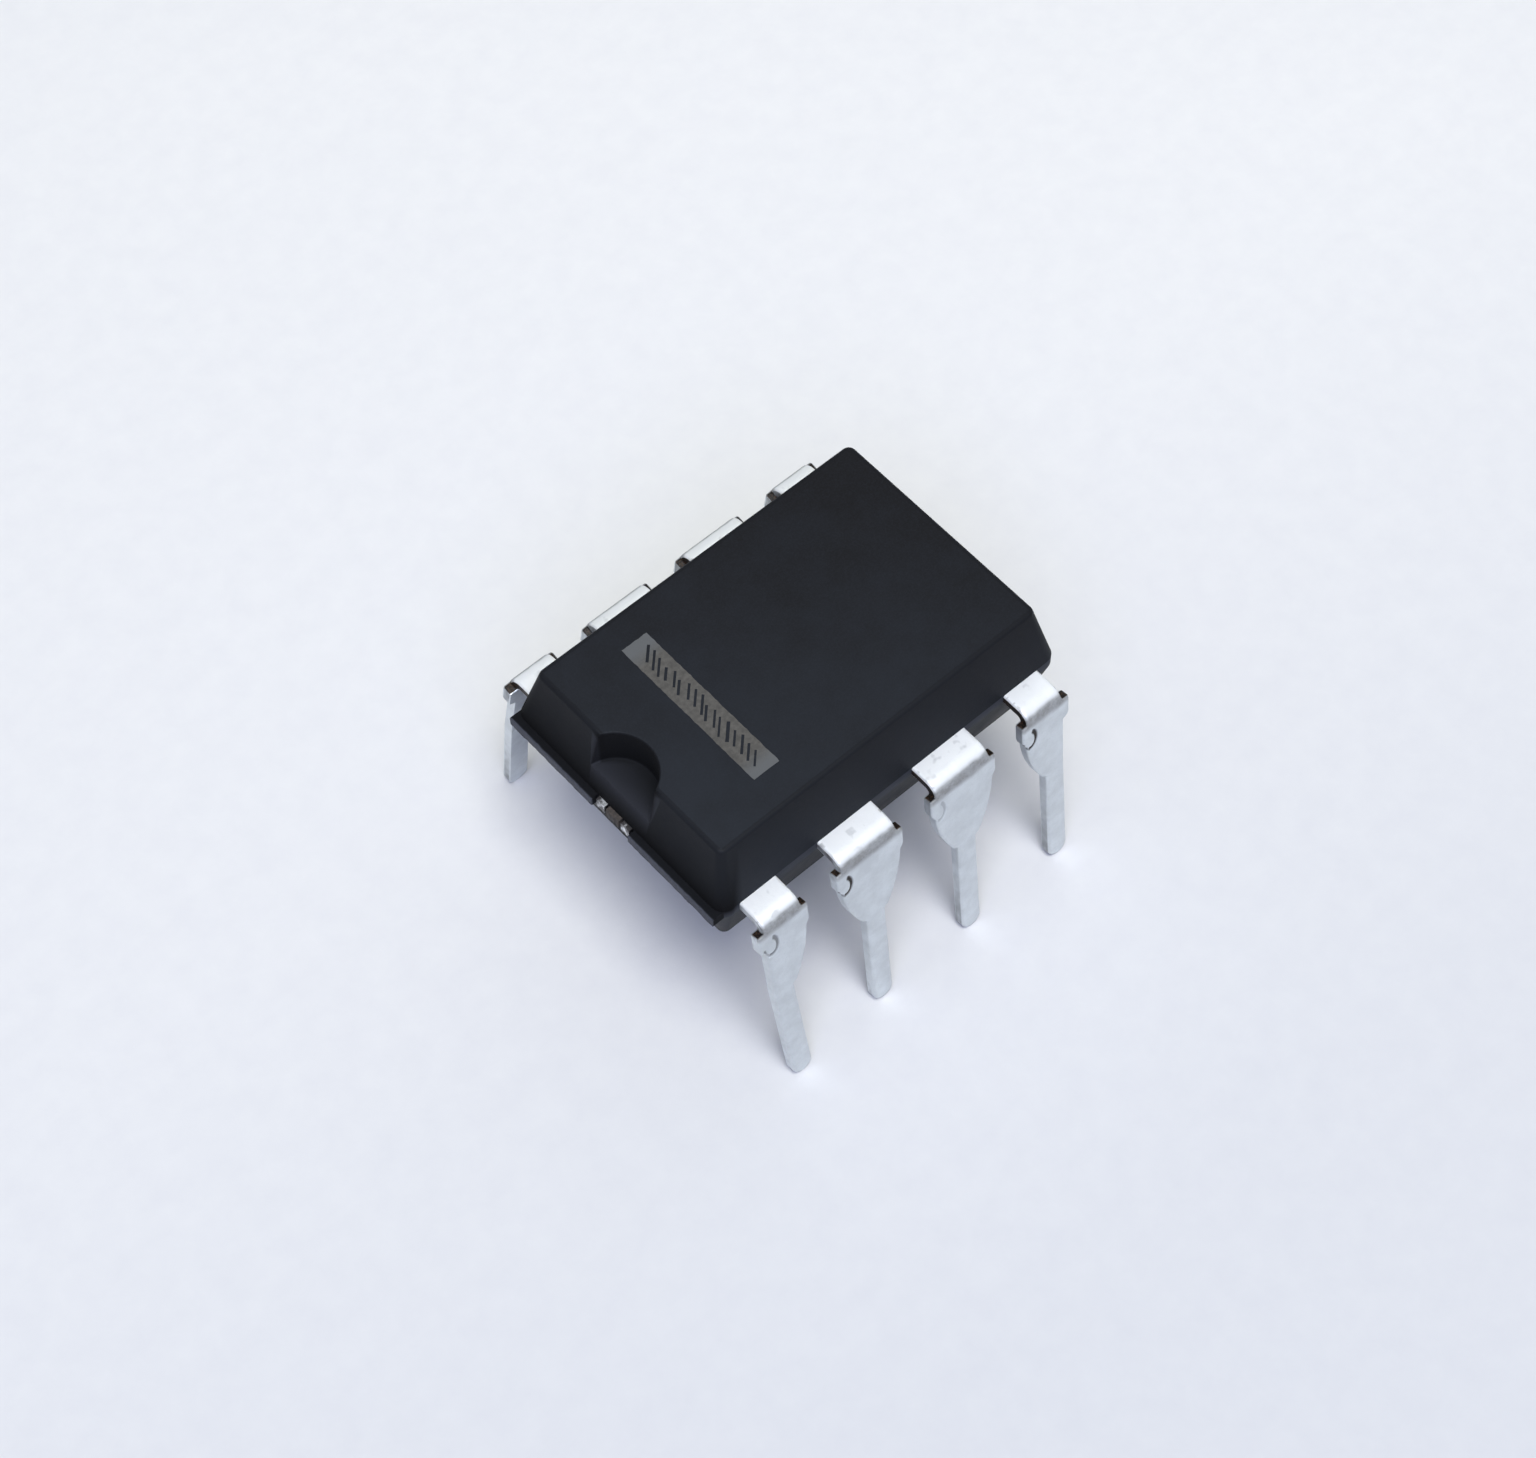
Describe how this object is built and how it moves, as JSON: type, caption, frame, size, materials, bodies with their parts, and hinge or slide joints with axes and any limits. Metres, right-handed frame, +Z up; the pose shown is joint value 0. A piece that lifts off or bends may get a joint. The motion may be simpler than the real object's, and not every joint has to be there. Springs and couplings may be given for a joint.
{
  "type": "dual in-line integrated circuit chip",
  "caption": "Black moulded dual in-line integrated circuit package with a half-round notch at one end and bent metal leads that end in splayed narrow pins.",
  "frame": {"origin": "midway between the two rows of leads and midway along them, at the level of the lead tips", "axes": "+Z up out of the top face; -X towards the notched end, so that lead 1 stands at -X -Y; leads 1 to 4 on the -Y side, leads 5 to 8 on the +Y side"},
  "size_m": [0.0093, 0.0097, 0.0072],
  "materials": {
    "mould_compound": "matte black epoxy moulding compound with a fine grain",
    "tinned_lead": "matte tin plating on copper alloy, with bare sheared edges",
    "leadframe_alloy": "rolled copper alloy",
    "die_adhesive": "silver-filled epoxy",
    "silicon": "polished grey silicon",
    "bond_gold": "drawn gold wire"
  },
  "bodies": {
    "root": {"body": "mould_compound", "lead_1": "tinned_lead", "lead_2": "tinned_lead", "lead_3": "tinned_lead", "lead_4": "tinned_lead", "lead_5": "tinned_lead", "lead_6": "tinned_lead", "lead_7": "tinned_lead", "lead_8": "tinned_lead", "die_paddle": "leadframe_alloy", "die_attach": "die_adhesive", "die": "silicon", "bond_wire_1": "bond_gold", "bond_wire_2": "bond_gold", "bond_wire_3": "bond_gold", "bond_wire_4": "bond_gold", "bond_wire_5": "bond_gold", "bond_wire_6": "bond_gold", "bond_wire_7": "bond_gold", "bond_wire_8": "bond_gold"}
  },
  "joints": []
}
